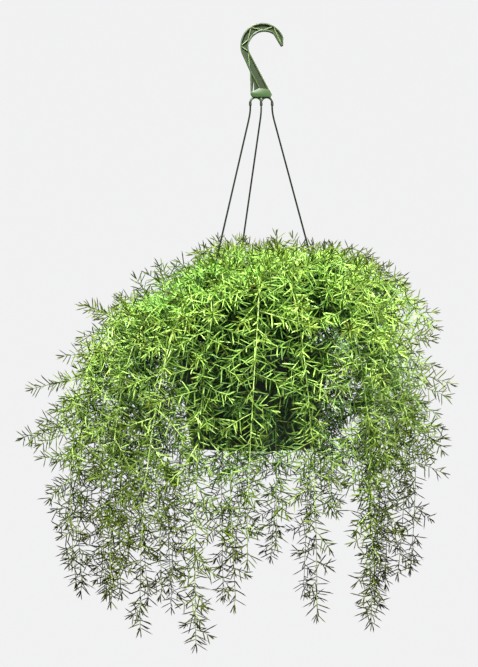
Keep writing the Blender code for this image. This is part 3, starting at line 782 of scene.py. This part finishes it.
# What the foliage's materials read: the place along a needle and its own tone
def growthLayers(bm):
    layers = bm.verts.layers.float
    return [layers.get(name) or layers.new(name) for name in ("along", "tone")]


# Adds a placed copy of a template mesh
def stamp(bm, mesh, matrix):
    copy = mesh.copy()
    copy.transform(matrix)
    bm.from_mesh(copy)
    bpy.data.meshes.remove(copy)


def frameAlong(point, direction, upward):
    # A matrix whose Z runs along the direction and whose X leans upward
    zAxis = direction.normalized()
    xAxis = upward - zAxis * upward.dot(zAxis)
    if xAxis.length < 0.001:
        xAxis = Vector((1, 0, 0)) - zAxis * zAxis.x
    xAxis.normalize()
    yAxis = zAxis.cross(xAxis)
    turn = Matrix((xAxis, yAxis, zAxis)).transposed().to_4x4()
    return Matrix.Translation(point) @ turn


def leaning(heading, around, degrees, start):
    # A direction that leans away from the heading, turned round it
    side = start.orthogonal() if abs(start.dot(heading)) > 0.99 * start.length else start
    side = (side - heading * side.dot(heading)).normalized()
    side = Matrix.Rotation(math.radians(around), 3, heading) @ side
    tilt = math.radians(degrees)
    return heading * math.cos(tilt) + side * math.sin(tilt)


def needlePlace(point, direction, length, draw):
    width = Matrix.Diagonal((1, 1, length, 1))
    twist = Matrix.Rotation(draw.uniform(0, math.tau), 4, "Z")
    return draw.choice(needles), frameAlong(point, direction, up) @ twist @ width


def sprigMesh(name, length, draw):
    # A side shoot along Z with its needles. It bends towards -X, which is laid downwards
    bm = bmesh.new()
    growthLayers(bm)
    side = draw.uniform(-1, 1) * sprig["wander"] * length
    droop = sprig["droop"] * draw.uniform(*sprig["droopRange"]) * length

    def at(share):
        return Vector((-droop * share ** 2, side * math.sin(math.pi * share), length * share))

    steps = max(3, round(length / sprig["coreStep"]))
    growRod(bm, [at(i / steps) for i in range(steps + 1)], sprig["coreRadius"],
            sprig["coreSides"], sprig["coreEnd"])
    for face in bm.faces:
        face.material_index = 1
    around = draw.uniform(0, 360)
    place = draw.uniform(*sprig["firstPlace"])
    sideways = Vector((1, 0, 0))
    while place < length:
        share = place / length
        heading = (at(min(1, share + sprig["ahead"])) - at(share - sprig["ahead"])).normalized()
        for i in range(draw.choice(sprig["perNode"])):
            around += fern["golden"]
            spread = draw.uniform(*sprig["spread"]) * (1 - sprig["tipLess"] * share)
            long = draw.uniform(*sprig["needleLength"]) * (1 - sprig["tipLess"] * share ** 2)
            turned = around + draw.uniform(*sprig["turnRange"])
            direction = leaning(heading, turned, spread, sideways)
            stamp(bm, *needlePlace(at(share), direction, long, draw))
        place += sprig["gap"] * draw.uniform(*sprig["gapRange"])
    heading = (at(1) - at(sprig["tuftFrom"])).normalized()
    tip = at(1) - heading * sprig["tuftBack"]
    for i in range(sprig["tuft"]):
        turned = 360 / sprig["tuft"] * i + sprig["tuftTurn"]
        direction = leaning(heading, turned, draw.uniform(*sprig["tuftLean"]), sideways)
        stamp(bm, *needlePlace(tip, direction, draw.uniform(*sprig["tuftLength"]), draw))
    return toMesh(bm, name)


def stemCurve(tier, index, spec):
    # The dense curve of one stem, by the rule that shapes its solid
    azimuth, reach, tip = spec
    draw = random.Random(fern["seed"] * 1000 + index)
    root = fern["roots"][tier][index % 2]
    if reach < fern["centreReach"]:
        root = fern["centreRoot"]
    lean, lift, out, shoulder, follow = fern["curves"][tier]
    slump = 1 - fern["leftSlump"] * max(0.0, -math.cos(math.radians(azimuth)))
    ends = ((root, fern["levelZ"]), (root + lean, lift * slump),
            (reach * out, shoulder * slump + follow * tip), (reach, tip))
    flat = interpolate_bezier(*(Vector((x, 0, z)) for x, z in ends), fern["dense"])
    sway = draw.uniform(-fern["sway"], fern["sway"])
    phase = draw.uniform(*fern["swayPhase"])
    for i, point in enumerate(flat):
        share = i / (fern["dense"] - 1)
        point.y = sway * share * (fern["swayFrom"] + share) * math.sin(math.pi * phase * share)
    place = Matrix.Translation(rimCentre) @ Matrix.Rotation(math.radians(azimuth), 4, "Z")
    return [place @ point for point in (Vector((root, 0, fern["rootZ"])), *flat)]


def lengthsAlong(curve):
    lengths = [0.0]
    for before, after in zip(curve, curve[1:]):
        lengths.append(lengths[-1] + (after - before).length)
    return lengths


def pointAt(curve, lengths, wanted, start=0):
    # The point and the heading at a length along the curve
    i = start
    while i < len(lengths) - 2 and lengths[i + 1] < wanted:
        i += 1
    share = min(1.0, (wanted - lengths[i]) / max(lengths[i + 1] - lengths[i], 0.001))
    return curve[i].lerp(curve[i + 1], share), (curve[i + 1] - curve[i]).normalized(), i


def hitsPot(point, spare=fern["spare"]):
    radius = math.hypot(point.x - pot["x"], point.y)
    height = point.z - pot["rimZ"]
    top = fern["overSoil"] if radius < fern["soilEdge"] else fern["overRim"]
    return radius < fern["potRadius"] + spare and fern["potFoot"] - spare < height < top + spare


cadLow = Vector(cadBox[0]) * perMetre
cadHigh = Vector(cadBox[1]) * perMetre


def inReach(point):
    # Whether a point lies under the crown's dome and in the solids' box, grown a little
    spare = fern["boxGrow"]
    away = math.hypot(point.x - pot["x"], point.y)
    dome = pot["rimZ"] + fern["domeTop"] - fern["domeFall"] * away ** 2
    inBox = all(cadLow[i] - spare < point[i] < cadHigh[i] + spare for i in range(3))
    return inBox and point.z < dome


def fullAt(full, share):
    # How full a stem is at a share of its length, between the middles of its three thirds
    third = min(max(share * 3 - 0.5, 0.0), 1.999)
    low = int(third)
    return full[low] + (full[low + 1] - full[low]) * (third - low)


def addSprigs(bm, curve, lengths, full, tier, around, draw):
    # Side shoots, each the longest that fits where it stands
    total, i = lengths[-1], 0
    place = fern["bareLength"][tier]
    while place < total - fern["bareEnd"]:
        point, heading, i = pointAt(curve, lengths, place, i)
        share = place / total
        around += fern["golden"] + draw.uniform(*fern["turnRange"])
        grown = min(1, share * fern["growth"] + fern["growthFrom"])
        ripe = math.sin(math.pi * grown) ** fern["growthPower"]
        wanted = sprig["lengths"][-1] * ripe * draw.uniform(*fern["sizeRange"])
        direction = leaning(heading, around, draw.uniform(*fern["lean"]), up)
        sizes = [size for size, long in enumerate(sprig["lengths"])
                 if long <= max(wanted, sprig["lengths"][0])]
        for size in reversed(sizes):
            long = sprig["lengths"][size]
            end = point + direction * (long + fern["needleRoom"]) - up * long * fern["sag"]
            middle = point.lerp(end, 0.5)
            if inReach(end) and not hitsPot(end) and not hitsPot(middle, fern["middleSpare"]):
                stamp(bm, draw.choice(sprigs[size]), frameAlong(point, direction, up))
                break
        crowding = fern["fullGap"] if point.z - pot["rimZ"] > fern["fullAbove"] else 1.0
        gap = fern["sprigGap"][tier] * crowding / fullAt(full, share)
        place += gap * draw.uniform(*fern["gapRange"])
    return around


def addNeedles(bm, curve, lengths, full, tier, around, draw):
    # Whorls of needles along the stem
    total, i = lengths[-1], 0
    place = fern["bareLength"][tier] * fern["whorlFrom"]
    while place < total - fern["whorlEnd"]:
        point, heading, i = pointAt(curve, lengths, place, i)
        for _ in range(fern["perWhorl"]):
            around += fern["golden"]
            direction = leaning(heading, around, draw.uniform(*sprig["spread"]), up)
            long = draw.uniform(*sprig["needleLength"])
            end = point + direction * long
            if inReach(end) and not hitsPot(end):
                stamp(bm, *needlePlace(point, direction, long, draw))
        gap = fern["whorlGap"] / max(fern["leastFull"], fullAt(full, place / total))
        place += gap * draw.uniform(*fern["whorlRange"])


def makeStem(tier, number, index, spec, finishes):
    draw = random.Random(fern["drawSeed"] + index)
    curve = stemCurve(tier, index, spec)
    lengths = lengthsAlong(curve)
    total = lengths[-1]
    bm = bmesh.new()
    steps = round(total / fern["stemStep"])
    path = [curve[0]]
    path += [pointAt(curve, lengths, total * step / steps)[0] for step in range(1, steps + 1)]
    growRod(bm, path, fern["stemRadius"], fern["stemSides"], fern["stemEnd"])
    for face in bm.faces:
        face.material_index = 1
    growthLayers(bm)
    full = fern["fullness"][tier][number - 1]
    around = addSprigs(bm, curve, lengths, full, tier, draw.uniform(0, 360), draw)
    addNeedles(bm, curve, lengths, full, tier, around, draw)
    point, heading, _ = pointAt(curve, lengths, total)
    stamp(bm, draw.choice(sprigs[0]), frameAlong(point - heading * fern["tuftBack"], heading, up))
    piece = finishMesh(bm, f"{tier}Fern{number:02d}", finishes, smooth=False)
    standIn(piece, "foliage", f"{tier}_stem_{number:02d}")
    return piece


# How open each cell of space is to the light around, from how many needles stand round it
daylight = {
    "cell": 14.0, "reach": 12, "rays": 26, "lowest": -0.35, "turn": 2.4, "upward": 1.2,
    "needleArea": 25.0, "needlePoints": 8, "ownShare": 0.5,
    "solid": 9.0, "potRadius": 118, "potFoot": -150, "potTop": -10,
}


def meshPoints(piece):
    flat = numpy.empty(len(piece.data.vertices) * 3)
    piece.data.vertices.foreach_get("co", flat)
    return flat.reshape(-1, 3) * perMetre


def openCells(points):
    cell, reach = daylight["cell"], daylight["reach"]
    corner = points.min(0) - cell
    shape = (numpy.ceil((points.max(0) + cell - corner) / cell)).astype(int)
    spots = numpy.ravel_multi_index(((points - corner) // cell).astype(int).T, shape)
    crowd = numpy.bincount(spots, minlength=shape.prod()).reshape(shape)
    dense = crowd * daylight["needleArea"] / daylight["needlePoints"] / cell ** 2
    x, y, z = (corner[i] + cell * (numpy.arange(shape[i]) + 0.5) for i in range(3))
    within = numpy.hypot(x[:, None] - pot["x"], y[None, :]) < daylight["potRadius"]
    height = z - pot["rimZ"]
    deep = (height > daylight["potFoot"]) & (height < daylight["potTop"])
    dense[within[:, :, None] & deep[None, None, :]] = daylight["solid"]
    room = numpy.pad(dense, reach)
    passed, weights = numpy.zeros(shape), 0.0
    for i in range(daylight["rays"]):
        rise = daylight["lowest"] + (1 - daylight["lowest"]) * (i + 0.5) / daylight["rays"]
        flat, turn = math.sqrt(1 - rise * rise), daylight["turn"] * i
        ray = numpy.array((flat * math.cos(turn), flat * math.sin(turn), rise))
        depth = dense * daylight["ownShare"]
        for step in range(1, reach + 1):
            low = numpy.rint(ray * step).astype(int) + reach
            depth = depth + room[tuple(slice(a, a + b) for a, b in zip(low, shape))]
        weight = daylight["upward"] + rise
        passed += weight * numpy.exp(-depth)
        weights += weight
    return corner, passed / weights


# Writes the openness at each point of a piece, read between the cells around it; the foliage's
# materials paint shade and light from it
def letLightIn(piece, corner, cells):
    spot = (meshPoints(piece) - corner) / daylight["cell"] - 0.5
    low = numpy.clip(numpy.floor(spot).astype(int), 0, numpy.array(cells.shape) - 2)
    part = numpy.clip(spot - low, 0, 1)
    values = numpy.zeros(len(spot))
    for corners in range(8):
        pick = numpy.array((corners & 1, corners >> 1 & 1, corners >> 2))
        share = numpy.where(pick, part, 1 - part).prod(1)
        values += share * cells[tuple((low + pick).T)]
    layer = piece.data.attributes.new("open", "FLOAT", "POINT")
    layer.data.foreach_set("value", values)


foliage = {
    "topZ": -0.30, "bottomZ": -0.90, "axisX": -0.017, "innerRadius": 0.11, "outerRadius": 0.26,
    "inner": (
        (0.00, (0.205, 0.325, 0.045)), (0.18, (0.141, 0.302, 0.039)), (0.36, (0.085, 0.245, 0.046)),
        (0.55, (0.080, 0.174, 0.042)), (0.65, (0.064, 0.098, 0.009)), (0.90, (0.058, 0.068, 0.003)),
    ),
    "outer": (
        (0.00, (0.215, 0.325, 0.048)), (0.22, (0.190, 0.290, 0.036)), (0.42, (0.135, 0.210, 0.030)),
        (0.62, (0.081, 0.126, 0.011)), (1.00, (0.062, 0.076, 0.003)),
    ),
    "patchScale": 9.0, "patchDetail": 2.0, "patchShift": 0.30,
    # Random tone of each needle; its pale bluish end is a painted highlight
    "tonesAndHighlights": ((0.0, (0.15, 0.20, 0.14)), (0.5, (0.98, 0.98, 0.98)), (1.0, (2.20, 2.02, 3.65))),
    # Painted shade and light by openness: dark deep in the leaves, brightest where half open, darker
    # on the most exposed needles
    "lights": ((0.00, (0.04, 0.07, 0.05)), (0.10, (0.12, 0.19, 0.13)), (0.20, (0.52, 0.64, 0.52)),
               (0.29, (1.25, 1.36, 1.20)), (0.38, (1.25, 1.32, 1.15)), (0.50, (0.69, 0.72, 0.48)),
               (0.62, (0.36, 0.34, 0.20)), (0.80, (0.23, 0.20, 0.12))),
    # Darker at each needle's base, a painted highlight paler towards its end
    "tips": ((0.0, (0.80, 0.88, 0.70)), (1.0, (1.25, 1.15, 1.45))),
    "roughness": 0.55, "specular": 0.09,
    "stem": ((0.3, (0.16, 0.25, 0.05)), (0.7, (0.40, 0.48, 0.16))), "stemPatches": 40.0,
}


# A colour multiplied by what a ramp gives for one of the foliage's attributes; with the openness this
# is painted shade and light
def timesGrowthAndPaintedLight(nodes, links, colour, name, stops):
    growth = nodes.new("ShaderNodeAttribute")
    growth.attribute_name = name
    tint = ramp(nodes, links, growth.outputs["Fac"], stops)
    return mixColours(nodes, links, colour, tint, "MULTIPLY")


def leafySheen(shader):
    shader.inputs["Roughness"].default_value = foliage["roughness"]
    shader.inputs["Specular IOR Level"].default_value = foliage["specular"]


def leafMaterial():
    # Green that turns from lime at the crown to olive at the hanging tips, needle by needle, with
    # painted shade deep in the leaves and painted highlights on pale needles and at needle ends
    made, nodes, links, shader, where = newMaterial("needleGreen")
    parts = nodes.new("ShaderNodeSeparateXYZ")
    links.new(where, parts.inputs["Vector"])
    height = mapRange(nodes, links, parts.outputs["Z"], foliage["topZ"], foliage["bottomZ"])
    patches = noiseOn(nodes, links, where, foliage["patchScale"], foliage["patchDetail"])
    shift = mathNode(nodes, links, "MULTIPLY_ADD", patches, foliage["patchShift"], height)
    place = mathNode(nodes, links, "SUBTRACT", shift, foliage["patchShift"] / 2)
    across = mathNode(nodes, links, "SUBTRACT", parts.outputs["X"], foliage["axisX"])
    crossed = mathNode(nodes, links, "MULTIPLY", across, across)
    away = mathNode(nodes, links, "MULTIPLY", parts.outputs["Y"], parts.outputs["Y"])
    radius = mathNode(nodes, links, "SQRT", mathNode(nodes, links, "ADD", crossed, away))
    outward = mapRange(nodes, links, radius, foliage["innerRadius"], foliage["outerRadius"])
    inner, outer = (ramp(nodes, links, place, foliage[part]) for part in ("inner", "outer"))
    base = mixColours(nodes, links, inner, outer, share=outward)
    # Multiplied by the random tone with its painted highlight, by painted shade and light from the
    # openness, and by a painted highlight along each needle
    for name, stops in (("tone", "tonesAndHighlights"), ("open", "lights"), ("along", "tips")):
        base = timesGrowthAndPaintedLight(nodes, links, base, name, foliage[stops])
    links.new(base, shader.inputs["Base Color"])
    leafySheen(shader)
    return made


# Pale green stems, with painted shade where they stand deep in the leaves and darker where they hang
# free
def stemMaterial():
    made, nodes, links, shader, where = newMaterial("stemGreen")
    patches = noiseOn(nodes, links, where, foliage["stemPatches"])
    colour = ramp(nodes, links, patches, foliage["stem"])
    lit = timesGrowthAndPaintedLight(nodes, links, colour, "open", foliage["lights"])
    links.new(lit, shader.inputs["Base Color"])
    leafySheen(shader)
    return made


templateDraw = random.Random(sprig["seed"])
needles = [needleMesh(f"needle{i}", needle["bend"] * templateDraw.uniform(-1, 1),
                      i / (needle["variants"] - 1)) for i in range(needle["variants"])]
sprigs = [[sprigMesh(f"sprig{size}_{i}", long, templateDraw) for i in range(sprig["variants"])]
          for size, long in enumerate(sprig["lengths"])]
print("sprigs", [[len(mesh.polygons) for mesh in row] for row in sprigs])
leafFinishes = [leafMaterial(), stemMaterial()]
ferns = []
for tier, rows in fern["rows"].items():
    for number, spec in enumerate(rows, 1):
        ferns.append(makeStem(tier, number, len(ferns), spec, leafFinishes))
    print(tier, "stems made, faces so far", sum(len(piece.data.polygons) for piece in ferns))
corner, cells = openCells(numpy.concatenate([meshPoints(piece) for piece in ferns]))
for piece in ferns:
    letLightIn(piece, corner, cells)
print("light let in through cells", cells.shape)
for mesh in needles + [mesh for row in sprigs for mesh in row]:
    bpy.data.meshes.remove(mesh)
